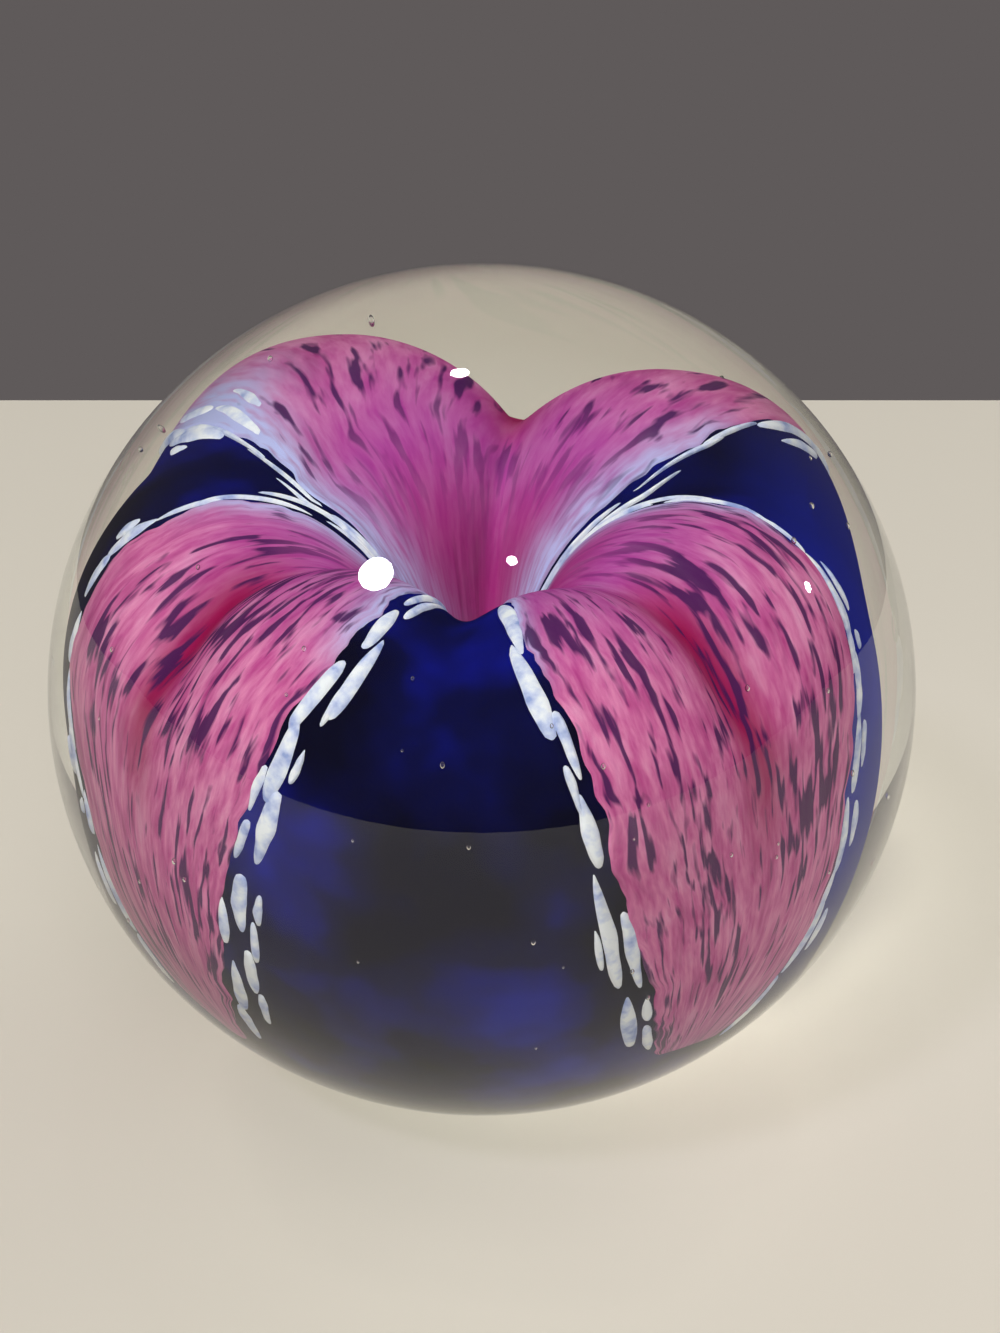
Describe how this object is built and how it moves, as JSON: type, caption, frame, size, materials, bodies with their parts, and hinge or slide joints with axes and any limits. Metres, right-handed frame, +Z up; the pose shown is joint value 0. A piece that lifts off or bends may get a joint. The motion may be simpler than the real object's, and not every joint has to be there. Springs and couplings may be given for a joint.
{
  "type": "glass paperweight",
  "caption": "Clear glass ball with a flat ground foot, cased over a dark blue lobed gather with a funnel top, pink petals and white enamel chips.",
  "frame": {"origin": "centre of the flat ground foot, on the surface the ball stands on", "axes": "+Z up along the ball's axis, -Y towards the blue gap that faces the viewer, +X to the viewer's right"},
  "size_m": [0.076, 0.076, 0.0686],
  "materials": {
    "clear_glass": "fire polished",
    "cobalt_glass": "cased, seen through clear glass",
    "pink_glass": "opaque, streaked",
    "white_enamel": "opaque"
  },
  "bodies": {
    "root": {"clear_casing": "clear_glass", "cobalt_gather": "cobalt_glass", "petal_right": "pink_glass", "petal_back": "pink_glass", "petal_left": "pink_glass", "enamel_chips": "white_enamel"}
  },
  "joints": []
}
